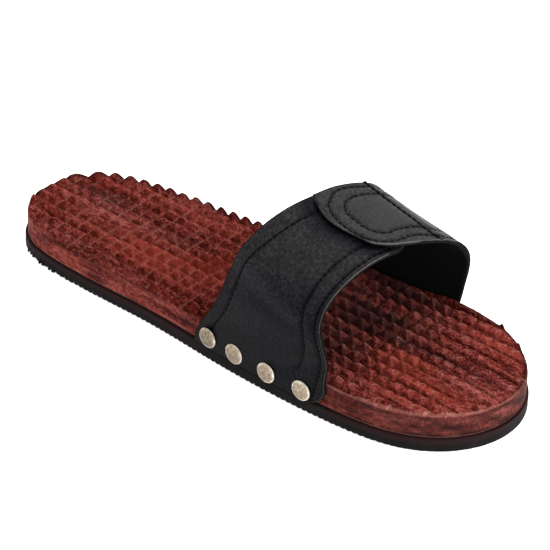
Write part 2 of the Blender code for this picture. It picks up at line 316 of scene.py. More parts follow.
# %% Height of the sawn top
FOOTBED_INSET = 0.4
FOOTBED_BOTTOM = 6.9
GROOVE_BOTTOM, RIDGE_TOP, TIP_TOP = 17.4, 22.8, 22.4
PITCH_ACROSS, PITCH_ALONG = 7.2, 7.4
SHIFT_ACROSS, SHIFT_ALONG = -2.5, 2.8
CUT_COUNT = 64
# how far a cut wanders, as a share of the pitch, and how often in a pitch
WANDER, WANDER_RATE = 0.06, 0.9
# roundness of the blade as a share of half a pitch, and what is left of that half
BLADE, BLADE_REST = 0.06, 0.942
# mm that a cut's bottom swings along its way
CUT_SWING = 0.7
# mm by which the bottoms of cuts are filled: worn heel, rim of the heel, lateral rim of the toe, medial rim of the
# forefoot, medial rim of the heel in lengthwise cuts, and toe in crosswise cuts
HEEL_FILL, HEEL_RIM_FILL, TOE_RIM_FILL, MEDIAL_FILL, MEDIAL_HEEL_FILL, TOE_FILL = 1.2, 0.3, 0.6, 3.0, 3.5, 0.7
# mm over which heights blend: cut with cut, pyramid with tip, tip with worn forefoot, all with the rim
CUT_BLEND, TIP_BLEND, WORN_BLEND, RIM_BLEND = 0.08, 0.07, 0.22, 0.12
# inset from the wood's side and height of the rim: rounded on the lateral side and toe, left sharp elsewhere
ROUND_RIM = np.array(((0.0, 17.0), (0.12, 17.9), (0.3, 18.8), (0.6, 19.7), (0.9, 20.4), (1.7, 21.2), (2.8, 21.7),
                      (5.0, 23.0)))
SHARP_RIM = np.array(((0.0, 18.6), (0.3, 20.4), (0.6, 21.3), (1.0, 22.0), (5.0, 24.0)))
# place along the shoe and height to which feet have worn the forefoot down
WORN_TOP = np.array(((55, 23.0), (78, 21.7), (95, 21.2), (112, 20.9), (124, 20.3), (133, 19.5), (141, 18.4)))
# place and height of splinters left standing on the medial rim, and their half width
TORN_TEETH = np.array(((-41.4, 105.4, 2.1), (-34.5, 119.3, 1.4)))
TOOTH_HALF_WIDTH = 1.5
# place along the shoe, rise of the cuts' bottom in mm and how much steeper than a full pyramid their sides are
CUT_WEAR = np.array(((-139, 0.9, 1.05), (-70, 0.8, 1.05), (-15, 0.4, 1.0), (30, 0.5, 1.0), (66, 0.7, 1.0),
                     (82, 1.1, 1.25), (104, 1.6, 1.8), (139, 1.7, 1.9)))

chance = np.random.default_rng(11)
groove_drop = chance.uniform(-0.35, 0.25, (2, CUT_COUNT))
tip_drop = chance.gamma(1.0, 0.36, (CUT_COUNT, CUT_COUNT)).clip(0, 2.0)
tip_slope = chance.uniform(-1.1, 1.1, (2, CUT_COUNT, CUT_COUNT))
tip_bright = np.minimum(chance.uniform(0, 1, (CUT_COUNT, CUT_COUNT)) ** 1.5, 0.7)
# random amounts, per stretch of cut and per pyramid, of the painted shade in the lengthwise cuts and on the lateral
# sides
groove_shade_own = chance.uniform(0, 1, (CUT_COUNT, CUT_COUNT)) ** 1.6
face_shade_own = chance.uniform(0.25, 1, (CUT_COUNT, CUT_COUNT))


def to_lattice(x, y):
    """Turns a place on the shoe into steps across and along the saw cuts, which wander a little."""
    across = x * math.cos(LATTICE_TURN) - y * math.sin(LATTICE_TURN)
    along = x * math.sin(LATTICE_TURN) + y * math.cos(LATTICE_TURN)
    a, b = (across - SHIFT_ACROSS) / PITCH_ACROSS, (along - SHIFT_ALONG) / PITCH_ALONG
    aside_a, aside_b = (WANDER * ripple(a * WANDER_RATE, b * WANDER_RATE, seed) for seed in (1, 2))
    return a + aside_a, b + aside_b


def cell_of(a, b):
    """Number of the pyramid across and along, for its own random values."""
    return np.floor(a).astype(int) % CUT_COUNT, np.floor(b).astype(int) % CUT_COUNT


def zigzag(step, other, side, rise, steep):
    """Distance from the nearest groove as a share of half a pitch, and the height of the V-shaped cut."""
    groove = np.rint(step)
    share = 2 * np.abs(step - groove)
    eased = (np.hypot(share * steep, BLADE) - BLADE) / BLADE_REST
    swing = CUT_SWING * ripple(groove, other * 0.8, 7 + side)
    bottom = GROOVE_BOTTOM + rise + groove_drop[side, groove.astype(int) % CUT_COUNT] + swing
    return share, bottom + (RIDGE_TOP - bottom) * eased


def sawn_top(x, y, inset):
    """Lower of the two zigzags, of each pyramid's own slanting tip, of the worn forefoot and of the rim, with
    torn fibre as small lumps. The numbers given to ease are mm along or across the shoe or in from its edge."""
    a, b = to_lattice(x, y)
    worn = bell(np.hypot((x - 2) / 27, (y + 88) / 48), 1)
    medial_edge = ease(y, 55, 75) * ease(y, 125, 105) * ease(x, -5, -25)
    heel_edge = ease(x, -5, -20) * ease(y, 10, -10)
    heel_end = ease(x, 32, 18) * ease(y, -112, -128)
    toe = ease(y, 66, 100)
    rise, steep = (np.interp(y, CUT_WEAR[:, 0], column) for column in CUT_WEAR[:, 1:].T)
    rise = rise + HEEL_FILL * worn + HEEL_RIM_FILL * ease(y, -85, -120) * ease(inset, 10, 2)
    rise = rise + TOE_RIM_FILL * ease(y, 60, 85) * ease(inset, 13, 3) * ease(x, -15, 10)
    rise = rise + MEDIAL_FILL * medial_edge * ease(inset, 5.0, 1.5)
    share_a, height_a = zigzag(a, b, 0, rise + MEDIAL_HEEL_FILL * heel_edge * ease(inset, 4.0, 1.5), steep)
    share_b, height_b = zigzag(b, a, 1, rise + TOE_FILL * toe, steep)

    cell = cell_of(a, b)
    slant = tip_slope[0][cell] * (a % 1 - 0.5) + tip_slope[1][cell] * (b % 1 - 0.5)
    lumps = 0.15 * ripple(x / 1.9, y / 2.6, 3) + 0.10 * ripple(x / 1.0, y / 1.2, 4)
    lumps = lumps * (1 - 0.6 * ease(y, 0, 20) + 0.6 * toe)
    whole = 1 - 0.8 * heel_edge * ease(inset, 9, 4)
    height = soft_min(height_a, height_b, CUT_BLEND)
    height = soft_min(height, TIP_TOP - 1.5 * worn - whole * tip_drop[cell] + slant, TIP_BLEND)
    height = soft_min(height, np.interp(y, *WORN_TOP.T) + 1.5 * lumps, WORN_BLEND)
    height = height + lumps * np.minimum(1, 2 * np.minimum(share_a, share_b)) * ease(inset, 0.2, 2.5)

    sharp = np.maximum(ease(x, 25, 5) * ease(y, 30, -5), heel_end) + 0.8 * medial_edge
    rim = (1 - sharp) * np.interp(inset, *ROUND_RIM.T) + sharp * np.interp(inset, *SHARP_RIM.T)
    pressed = ease(y, 5, 40) * ease(y, 78, 50) * ease(x, 10, -10)
    rim = rim - pressed * (0.9 + ease(inset, 0, 1) * ease(inset, 8, 3))
    teeth = sum(tall * bell(np.hypot(x - at_x, y - at_y), TOOTH_HALF_WIDTH) for at_x, at_y, tall in TORN_TEETH)
    return soft_min(height, rim, RIM_BLEND) + teeth, share_a, share_b


print("deepest and shallowest groove", groove_drop.min().round(2), groove_drop.max().round(2))

# %% [markdown]
# ## The board
# The grid ends raggedly at the sole's edge. Cutting it with the outline would leave slivers, so points that fall
# outside are drawn in to the edge, and rings round the outline make the rounded rim, the side and the underside. The
# edge is found as for an ellipse: across over fullness and along over half length, squared and added, is one there,
# and a few steps down its slope lead to it.

# %% Places and distances from the edge
def edge_of(x, y, rounds=4, reach=0.05):
    """Angle on the outline nearest to each point, and how far inside it the point is."""
    def bulge(px, py):
        """Below 0 inside the outline, 0 on it and above 0 outside."""
        full, middle, _ = sole_section(py)
        return ((px - middle) / full) ** 2 + (py / (LENGTH / 2)) ** 2 - 1
    px, py = x.copy(), y.copy()
    for _ in range(rounds):
        value = bulge(px, py)
        slope_x = (bulge(px + reach, py) - bulge(px - reach, py)) / (2 * reach)
        slope_y = (bulge(px, py + reach) - bulge(px, py - reach)) / (2 * reach)
        steep = np.maximum(slope_x ** 2 + slope_y ** 2, 1e-5)
        px, py = px - value * slope_x / steep, py - value * slope_y / steep
        py = np.clip(py, -LENGTH / 2, LENGTH / 2)
    full, middle, _ = sole_section(py)
    angle = np.arctan2((px - middle) / full, -py / (LENGTH / 2))
    return angle, np.where(bulge(x, y) < 0, 1, -1) * np.hypot(x - px, y - py)


def loop_order(faces):
    """Border of a patch of faces in order: an edge that is used one way only leads to the next point, and
    doubling the stride walks the whole loop."""
    start, end = faces.ravel(), np.roll(faces, -1, axis=1).ravel()
    count = faces.max() + 1
    single = ~np.isin(start * count + end, end * count + start)
    following = np.arange(count)
    following[start[single]] = end[single]
    order, stride = start[single][:1], following
    while len(order) < single.sum():
        order, stride = np.concatenate([order, stride[order]]), stride[stride]
    return order[:single.sum()]


# grid steps in a pitch, and mm from the wood's side where the grid ends and the rings start
CELLS = 14
RIM_START, RIM_SPARE = 1.2, 0.25
step_a, step_b = np.meshgrid(np.arange(-9 * CELLS, 10 * CELLS) / CELLS, np.arange(-21 * CELLS, 20 * CELLS) / CELLS,
                             indexing="ij")
lattice_x, lattice_y = step_a * PITCH_ACROSS + SHIFT_ACROSS, step_b * PITCH_ALONG + SHIFT_ALONG
grid_x = (lattice_x * math.cos(LATTICE_TURN) + lattice_y * math.sin(LATTICE_TURN)).ravel()
grid_y = (lattice_y * math.cos(LATTICE_TURN) - lattice_x * math.sin(LATTICE_TURN)).ravel()
grid_angle, grid_inset = edge_of(grid_x, grid_y)
grid_inset = grid_inset - FOOTBED_INSET
print("grid", step_a.shape, "inside", int((grid_inset > RIM_START).sum()))

# %% Board mesh
numbers = np.arange(grid_x.size).reshape(step_a.shape)
cells = np.stack([numbers[:-1, :-1], numbers[1:, :-1], numbers[1:, 1:], numbers[:-1, 1:]], axis=-1).reshape(-1, 4)
cells = cells[(grid_inset > RIM_START + RIM_SPARE)[cells].any(axis=1)]
used, cells = np.unique(cells, return_inverse=True)
cells = cells.reshape(-1, 4)
top_x, top_y, top_inset = grid_x[used], grid_y[used], grid_inset[used]

# the border's angles are evened out over nine points
border = loop_order(cells)
angles = np.maximum.accumulate(np.unwrap(grid_angle[used][border]))
wide = np.concatenate([angles[-4:] - TURN, angles, angles[:4] + TURN])
angles = np.convolve(wide, np.ones(9) / 9, "valid")
top_x[border], top_y[border] = outline(angles, FOOTBED_INSET + RIM_START).T
top_inset[border] = RIM_START

# inset and height of the rings that make the rim, the side and the bottom edge; without a height a ring is sawn
SAWN = np.nan
RINGS = ((0.9, SAWN), (0.6, SAWN), (0.3, SAWN), (0.12, SAWN), (0.0, SAWN), (0.0, 15.0), (0.0, 12.5), (0.0, 10.0),
         (0.0, 7.8), (0.12, 7.3), (0.5, FOOTBED_BOTTOM), (14.0, FOOTBED_BOTTOM))
rings = [np.column_stack([outline(angles, FOOTBED_INSET + inset), np.full(len(border), height)])
         for inset, height in RINGS]
top = np.column_stack([top_x, top_y, np.full(len(top_x), SAWN)])
board = np.concatenate([top, *rings, [[0, 0, FOOTBED_BOTTOM]]])
inset_all = np.concatenate([top_inset, np.repeat([inset for inset, _ in RINGS], len(border)), [50.0]])
sawn = np.isnan(board[:, 2])
height, share_a, share_b = sawn_top(board[:, 0], board[:, 1], inset_all)
board[sawn, 2] = height[sawn]

ring_numbers = [border] + [len(top_x) + k * len(border) + np.arange(len(border)) for k in range(len(RINGS))]
walls = [np.column_stack([np.roll(upper, -1), upper, lower, np.roll(lower, -1)])
         for upper, lower in zip(ring_numbers, ring_numbers[1:])]
last = ring_numbers[-1]
fan = np.column_stack([np.roll(last, -1), last, np.full(len(last), len(board) - 1)])
board_faces = np.concatenate([cells, *walls]).tolist() + fan.tolist()
print("rim points", len(border), "smallest step", float(np.diff(angles).min()))

# %% [markdown]
# ## Stains, marks and painted light on the board
# The wood has broad streaks along the grain: grey brown down the middle of the forefoot, orange red beside it and
# along the heel; the same grey brown is laid under the strap as painted shade. Paint would need an image, so a short
# table of soft oval patches, in the shoe's own sizes, is kept on the mesh. Painted light is kept there too: painted
# shade in dark dashes in the lengthwise cuts, on the sides of the pyramids that face the lateral side and along the
# far rim, and painted highlights on ridge edges, along the toe's rim and in pale lines in the crosswise cuts; on the
# side, pale scuffs, a painted highlight along its upper and lower edges, and painted shade towards the toe.

# %% Board piece
# place across and along, half width, half length in mm, and amount: above 0 orange red, below 0 grey brown;
# the grey brown rows at 42, 50 and 58 mm along, under the strap, are painted shade
STAINS_AND_SHADE = np.array((
    (-3, 82, 5, 30, -0.9), (-14, 58, 9, 22, -0.7), (20, 96, 9, 26, 0.9), (-30, 112, 8, 24, 0.8),
    (33, 92, 6, 24, 0.5), (-4, 118, 6, 22, -0.5), (14, 122, 6, 14, -0.1), (-8, -104, 7, 20, -0.9),
    (-3, -52, 7, 22, -0.8), (18, -70, 10, 36, 0.6), (-26, -60, 7, 28, 0.5), (-22, -112, 8, 16, 0.5),
    (34, -64, 5, 40, -0.5), (10, -30, 8, 16, 0.6), (26, 60, 8, 14, -0.3), (6, -124, 14, 14, 0.4),
    (0, 42, 60, 27, -1.2), (-38, 50, 12, 24, -1.0), (0, -28, 30, 20, 0.5), (18, -48, 22, 26, 0.5),
    (9, 85, 5, 13, 1.2),
))
# place along the shoe and how much darker its side is made there: painted shade, strongest at the toe, where the toe
# lamp falls
SIDE_SHADE = np.array(((-139, 0.15), (0, 0.5), (139, 1.0)))
# the band of the side, in mm above the floor, where a painted highlight draws a pale line, and how strong it is
BOTTOM_HIGHLIGHT_BAND, BOTTOM_HIGHLIGHT = (7.0, 7.5), 2.0

# below, the numbers given to ease are mm along or across the shoe or in from its edge, or shares of half a pitch
x, y, z = board.T
offset_x, offset_y = (x[:, None] - STAINS_AND_SHADE[:, 0]) / STAINS_AND_SHADE[:, 2], (y[:, None] - STAINS_AND_SHADE[:, 1]) / STAINS_AND_SHADE[:, 3]
stain_and_shade = (np.exp(-offset_x ** 2 - offset_y ** 2) * STAINS_AND_SHADE[:, 4]).sum(axis=1)
stain_and_shade *= 0.75 + 0.6 * ripple(x / 2.2, y / 30, 5)
on_top = sawn & (inset_all > 0.2)

# the side is scuffed along, lighter at its upper edge from rubbing and a painted highlight, and crossed by strokes of
# end grain at the toe
scuff = ripple((x + y) / 13, z / 1.9, 6)
rubbed_and_lit_edge = ease(z, 14.5, 17.5)
end_grain = ripple((x + y) / 11, (z + 0.35 * (y - x)) / 2.4, 26) * ease(y, 66, 90)
side_stain_and_shade = (0.8 * scuff - np.interp(y, *SIDE_SHADE.T)) * (1 - 0.35 * rubbed_and_lit_edge) + 0.5 * end_grain
side_scuff_and_highlight = 0.12 * np.maximum(scuff, 0) + 0.03 * rubbed_and_lit_edge + 0.1 * np.maximum(end_grain, 0)

cut_a, cut_b = to_lattice(x, y)
cell = cell_of(cut_a, cut_b)
groove_shade_here = groove_shade_own[np.rint(cut_a).astype(int) % CUT_COUNT, cell[1]]
lateral_half, toe_half = cut_a % 1 > 0.5, cut_b % 1 > 0.5
lower_share = np.minimum(share_a, share_b)
forefoot, toe = ease(y, -25, 15), ease(y, 62, 95)
by_strap = forefoot * ease(y, 100, 72)

# painted shade: dark dashes in the lengthwise cuts, fainter beside the strap, and the pyramids' sides that face the
# lateral side, darker beside the strap
groove_shade = (1.5 - 0.5 * by_strap) * (1 - share_a) ** 4 * share_b * (groove_shade_here + 0.7 * toe * (1 - groove_shade_here))
lateral_face = ease(share_b - share_a, -0.03, 0.12) * lateral_half
face_shade = lateral_face * face_shade_own[cell] * (0.18 + 0.02 * forefoot + 0.12 * by_strap)
# painted shade along the far rim and in the cuts of the heel's medial rim
heel_end = ease(y, -116, -128) * ease(x, 24, 8)
far_rim_shade = ease(inset_all, 3.0, 1.5) * np.maximum(ease(x, 8, -14), heel_end)
heel_row = ease(inset_all, 7, 4) * ease(x, -5, -20) * (1 - forefoot)
far_rim_shade = np.maximum(far_rim_shade, heel_row * ease(lower_share, 0.4, 0.75))

# painted highlights, with some torn fibre: pale lines in the crosswise cuts and, at the heel, in the lengthwise ones
cut_line_highlight = 1.15 * (1 - share_b) ** 7 * ease(ripple(cut_a * 0.8, np.rint(cut_b), 8), -0.6, 0.2)
along_cut_highlight = 0.7 * (1 - share_a) ** 7 * ease(ripple(np.rint(cut_a), cut_b * 0.45, 10), 0.0, 0.4)
cut_line_highlight = np.maximum(cut_line_highlight, along_cut_highlight) * (1 - 0.9 * ease(y, -40, 20))
# painted highlights on the top: faces that turn to the toe beside the strap, lit ridge edges that grow towards the
# toe, and the lateral rim of the toe
toe_face = ease(share_a - share_b, -0.03, 0.12) * toe_half
ridge_highlight = bell(share_a - share_b, 0.12) * toe_half * lower_share * np.where(cut_a % 1 < 0.5, 1.6, 0.45)
ridge_highlight = ridge_highlight * tip_bright[cell] * (0.2 + 0.8 * ease(y, 48, 80))
toe_rim_highlight = 0.35 * ease(inset_all, 1.0, 0.5) * ease(x, -25, 0) * ease(y, 40, 70)
top_highlight = toe_rim_highlight + forefoot * (ridge_highlight + 0.05 * toe_face * by_strap)

# each mark on the sawn top and on the side; besides stains, scuffs, tips and fibre they hold painted light and shade
board_marks = {label: np.where(on_top, above, beside) for label, above, beside in (
    ("stain_and_shade", stain_and_shade, side_stain_and_shade),
    ("painted_shade", np.maximum(np.maximum(groove_shade, face_shade), 0.95 * far_rim_shade), 0),
    ("painted_line_highlight", cut_line_highlight, np.where((z > BOTTOM_HIGHLIGHT_BAND[0]) & (z < BOTTOM_HIGHLIGHT_BAND[1]), BOTTOM_HIGHLIGHT, 0)),
    ("tip", 0.08 + 1.6 * tip_bright[cell] * (share_a * share_b) ** 3, 0.07),
    ("scuff_and_highlight", top_highlight, side_scuff_and_highlight),
    ("raw", 0.33 + 0.22 * toe, 0.15))}
add_piece("footbed_wood", board, board_faces, [wood], ["footbed"], board_marks)

# %% [markdown]
# ## Black cellular rubber
# The outsole is cut from a foamed rubber sheet: dull, nearly black, a little dusty, and reddish where the wood's dye
# has run onto it. Its pores could be modelled, but its gloss is so low that fine grit in the bump does the work.

# %% Rubber material
GRIT_MM, DUST_MM = 0.5, 9.0
rubber, tree, shader, rubber_mm = new_material("black cellular rubber, knife cut")
grit, dust = (add_node(tree, "TexNoise", {"Vector": rubber_mm, "Scale": 1 / size, "Detail": detail})
              for size, detail in ((GRIT_MM, 3.0), (DUST_MM, 5.0)))
tone = add_node(tree, "ValToRGB", {"Fac": dust}, stops=((0.35, "#0b0809"), (0.6, "#120e0f"), (0.8, "#201a1a")))
dye = add_node(tree, "Attribute", attribute_name="dye").outputs["Fac"]
fill(tree, shader, {
    "Base Color": add_node(tree, "Mix", {0: dye, 6: tone, 7: linear("#2b1416")}, data_type="RGBA").outputs[2],
    "Normal": add_node(tree, "Bump", {"Height": grit, "Strength": 0.6, "Distance": 0.0004}),
    "Roughness": 0.82, "Specular IOR Level": 0.12})
print("rubber nodes", len(tree.nodes))

# %% [markdown]
# ## The outsole
# The sheet has fine ribs across its underside, which leave a row of small teeth along the lower edge at the sides. At
# the toe that edge is smooth, and at the heel it is frayed. Ribs could be cut one by one. Here a closed section is
# carried along the shoe, as wide as the outline, and its lower points rise and fall with the ribs.

# %% Outsole
OUTSOLE_TOP = 6.6
RIB_PITCH, RIB_DEPTH, RIB_COUNT = 3.1, 0.65, 128
# how far the sheet stands out all round, and how much more along the lateral waist
PROUD, WAIST_PROUD = 0.6, 0.7
# mm by which the lower edge is torn up at the heel and elsewhere, and by which threads stand out at the heel
HEEL_TEAR, EDGE_TEAR, FRINGE = 0.8, 0.12, 1.7
stations = np.linspace(0.01, math.pi - 0.01, 1000)
along = (-LENGTH / 2 * np.cos(stations))[:, None]
_, middle, half = sole_section(along)
rib_number = np.floor(along / RIB_PITCH).astype(int)
rib_share = np.abs(2 * (along / RIB_PITCH - rib_number) - 1)
rib_own = np.random.default_rng(21).uniform(0.6, 1.15, RIB_COUNT)[rib_number % RIB_COUNT]
rib = RIB_DEPTH * rib_own * np.clip(2.4 * rib_share - 1.1, 0, 1) * (1 - 0.8 * ease(along, 75, 115))
# inset in mm, height of the sheet and how much of the ribs' height is added, up its side and then on its top
SIDE = ((0.12, 0.3, 0.8), (0, 0.9, 0.3), (0, 3.2, 0), (0, 4.6, 0), (0, 6.1, 0))
ON_TOP = (0.35, OUTSOLE_TOP, 0)
# the share of the half width, then the same three, round one section
section = [(share, 0.35, 0.0, 1) for share in np.linspace(-1, 1, 21)]
section += [(1, *point) for point in SIDE]
section += [(share, *ON_TOP) for share in (1, *np.linspace(0.8, -0.8, 9), -1)]
section += [(-1, *point) for point in SIDE[::-1]]
share, inset, height, ribbed = np.array(section).T
proud = PROUD + np.where(share > 0, WAIST_PROUD * bell(along - 20, 55), 0)
tread_x = middle + share * np.maximum(half + proud - inset, 0.05 * half)
frayed = ripple(along / 1.3, share * 3, 23) * bell(along + 128, 16)
torn_up = HEEL_TEAR * np.abs(frayed) + EDGE_TEAR * np.abs(ripple(along / 1.7, share * 2, 24))
tread_z = height + rib * ribbed + np.where((height < 1) & (np.abs(share) > 0.85), torn_up, 0)
fringe = FRINGE * np.clip(ripple(along / 1.2, along * 0, 25), 0, 1) * bell(along + 113, 16)
tread_x = tread_x + np.where((height < 1) & (share > 0.9), fringe, 0)
tread_y = np.broadcast_to(along * (1 + 2 * PROUD / LENGTH), tread_x.shape)
tread = np.stack([tread_x, tread_y, tread_z], axis=-1)
# the wood's dye has run onto the rubber, but not below the strap
bare = 1 - ease(along, -18, -8) * ease(along, 76, 66)
add_piece("outsole_rubber", tread.reshape(-1, 3), tube_faces(1, *tread_x.shape), [rubber], ["outsole"],
          {"dye": (0.7 * ease(tread_z, 3.2, 6.0) * bare).ravel()})

# %% [markdown]
# ## The strap's surface
# The strap rises from the lateral side, crosses the instep and comes down on the medial side. Cloth simulation would
# let stiff leather sag, so the strap is a ruled surface: its rear and front edges are smooth curves, joined by
# straight lines. One number is the place along the arch, the other the place across.

# %% Strap surface
INSTEP_HEIGHT = 83.2
STRAP_WALL = 2.2
CLEARANCE = 0.3
# from the outline to the strap's grain side
STRAP_OUT = CLEARANCE + STRAP_WALL - FOOTBED_INSET
# share of the arch to either side of a point that gives the arch's direction
ARCH_STEP = 0.004
# place along the arch, then share of half width, share of length and share of instep at the rear and front edge
STRAP = np.array((
    (0.000, 1.000, -0.0360, 0.087, 1.000, 0.2306, 0.087), (0.058, 1.000, -0.0270, 0.198, 1.000, 0.2435, 0.198),
    (0.142, 0.987, 0.0065, 0.397, 1.000, 0.2522, 0.385), (0.247, 0.925, 0.0353, 0.679, 0.967, 0.2327, 0.589),
    (0.368, 0.648, 0.0669, 0.921, 0.620, 0.2396, 0.787), (0.500, 0.015, 0.1022, 1.000, 0.015, 0.2612, 0.844),
    (0.632, -0.604, 0.1275, 0.892, -0.595, 0.2864, 0.754), (0.753, -0.861, 0.1122, 0.655, -0.943, 0.2948, 0.591),
    (0.858, -0.958, 0.0781, 0.397, -1.008, 0.2849, 0.379), (0.942, -1.000, 0.0349, 0.198, -1.000, 0.2759, 0.198),
    (1.000, -1.000, -0.0040, 0.087, -1.000, 0.2691, 0.087),
))


def strap_point(u, v):
    """Point of the grain side at place u on the arch, v of the way from the rear to the front edge."""
    rows = spline(STRAP[:, 0], STRAP[:, 1:], u)
    blended = (1 - v)[..., None] * rows[..., :3] + v[..., None] * rows[..., 3:]
    across, along = blended[..., 0], LENGTH * blended[..., 1]
    _, middle, half = sole_section(along)
    return np.stack([middle + across * (half + STRAP_OUT), along, INSTEP_HEIGHT * blended[..., 2]], axis=-1)


def strap_across(u):
    """Line from the rear to the front edge."""
    return strap_point(u, np.ones_like(u)) - strap_point(u, np.zeros_like(u))


def strap_normal(u, v):
    """Square to the line across the strap and to the step along the arch, pointing away from the foot."""
    along_arch = strap_point(np.clip(u + ARCH_STEP, 0, 1), v) - strap_point(np.clip(u - ARCH_STEP, 0, 1), v)
    return unit(np.cross(strap_across(u), along_arch))


def strap_width(u):
    """Length of that line in mm."""
    return np.linalg.norm(strap_across(u), axis=-1)


ARCH = float(walked(strap_point(np.linspace(0, 1, 400), np.full(400, 0.5)))[-1])
print("arch in mm", round(ARCH, 1), "widths", strap_width(np.array([0, 0.25, 0.5, 0.75, 1])).round(1))

# %% [markdown]
# ## Seams and creases
# Rows of stitches hold the lining along the edges, two rounded rows hold the fastening under the flap, and one bold
# row crosses the crown. Bent leather also keeps soft creases. Both are tables in the strap's own two numbers. A seam
# is a trough that falls off with distance, a crease a wider and softer one.

# %% Seams and creases
# thousandths of the arch and of the way across
LATERAL_SEAMS = {
    "rear": ((50, 100), (100, 104), (200, 112), (290, 125), (340, 160), (400, 185), (490, 210)),
    "front": ((16, 966), (60, 952), (130, 945), (220, 942), (320, 940), (400, 935), (490, 930)),
    "second": ((90, 785), (105, 795), (130, 805), (190, 815), (260, 805), (330, 790), (400, 780), (490, 770)),
}
MEDIAL_SEAMS = {
    "outer": ((604, 79), (586, 79), (570, 77), (550, 70), (531, 66), (519, 74), (506, 101), (494, 142), (482, 192),
              (474, 250), (468, 314), (464, 390), (461, 474), (460, 562), (461, 650), (467, 755), (477, 825),
              (491, 873), (505, 894), (520, 897), (543, 882), (561, 881), (584, 893), (605, 914), (634, 928),
              (700, 935), (850, 942), (980, 955)),
    "inner": ((650, 222), (635, 216), (613, 210), (592, 202), (575, 198), (558, 197), (544, 199), (530, 207),
              (517, 228), (505, 267), (499, 307), (493, 364), (490, 430), (490, 503), (489, 576), (491, 636),
              (494, 688), (501, 732), (511, 764), (521, 774), (533, 764), (556, 758), (583, 762), (602, 773),
              (621, 798), (650, 812)),
    "cross": ((596, 5), (597, 100), (600, 250), (603, 450), (605, 650), (606, 800), (611, 940)),
    "rear": ((620, 85), (720, 112), (820, 110), (900, 104), (950, 100)),
    "rear knot": ((595.5, -20), (597, 60)),
    "front knot": ((610, 900), (613.5, 980)),
}
SEAM_STEPS = 240
# start and end in (u, v), half width and depth in mm; a negative depth is a ridge
LATERAL_CREASES = (
    (0.245, 0.02, 0.205, 0.70, 5.0, 0.45), (0.290, 0.05, 0.245, 0.72, 6.0, -0.40),
    (0.325, 0.20, 0.300, 0.75, 5.0, 0.25), (0.075, 0.66, 0.135, 1.00, 5.0, 0.60),
    (0.070, 0.40, 0.110, 0.70, 7.0, -0.35), (0.060, 0.00, 0.115, 0.22, 5.0, 0.40),
)
MEDIAL_CREASES = (
    (0.755, 0.02, 0.790, 0.80, 5.0, 0.55), (0.715, 0.05, 0.745, 0.85, 6.0, -0.40),
    (0.925, 0.62, 0.865, 1.00, 5.0, 0.55), (0.640, 0.05, 0.655, 0.95, 4.0, 0.30),
    (0.935, 0.00, 0.880, 0.24, 5.0, 0.40),
)


def flat(u, v):
    """Place on the strap as if laid flat, in mm along the arch and across from the rear edge."""
    return np.stack([ARCH * u, v * strap_width(u)], axis=-1)


def dense(seam):
    """Even steps along a smooth curve through a seam's points, as (u, v) and the running length in mm."""
    points = np.array(seam) / 1000
    knots = walked(flat(*points.T))
    fine = spline(knots, points, np.linspace(0, knots[-1], SEAM_STEPS))
    return fine, walked(flat(*fine.T))


def seam_gap(u, v, seams):
    """Distance in mm to the nearest seam, worked out in parts to spare memory."""
    here = np.array_split(flat(u, v).reshape(-1, 1, 2), 40)
    lines = [flat(*dense(seam)[0].T) for seam in seams.values()]
    gaps = [np.concatenate([np.linalg.norm(part - line, axis=-1).min(axis=1) for part in here]) for line in lines]
    return np.min(gaps, axis=0).reshape(u.shape)


def crease_depth(u, v, creases):
    """Sum of bells of the distance to each crease's straight line."""
    here, total = flat(u, v), np.zeros_like(u)
    for u0, v0, u1, v1, half_width, depth in creases:
        start, end = flat(np.array([u0, u1]), np.array([v0, v1]))
        run = end - start
        share = np.clip(((here - start) @ run) / (run @ run), 0, 1)
        gap = np.linalg.norm(here - start - share[..., None] * run, axis=-1)
        total = total + depth * bell(gap, half_width)
    return total


print("seam lengths in mm", {name: round(float(dense(seam)[1][-1])) for name, seam in
                             {**LATERAL_SEAMS, **MEDIAL_SEAMS}.items()})

# %% [markdown]
# ## Black leather
# The strap is black grain leather with a lining: smooth to the touch, with a fine pebble, a low sheen that shows on
# the crown, and a dusty grey where it is dry. A value kept on the mesh adds painted light: painted sheen that makes
# the leather lighter with height and on the flap, and a painted shadow along the flap's end. Scanned leather would be
# an image, so Voronoi cells make the pebble, and noise the dry patches. The lining is duller, and the cut edge is
# paler, with a painted highlight.

# %% Leather materials
DRY_MM = 12.0


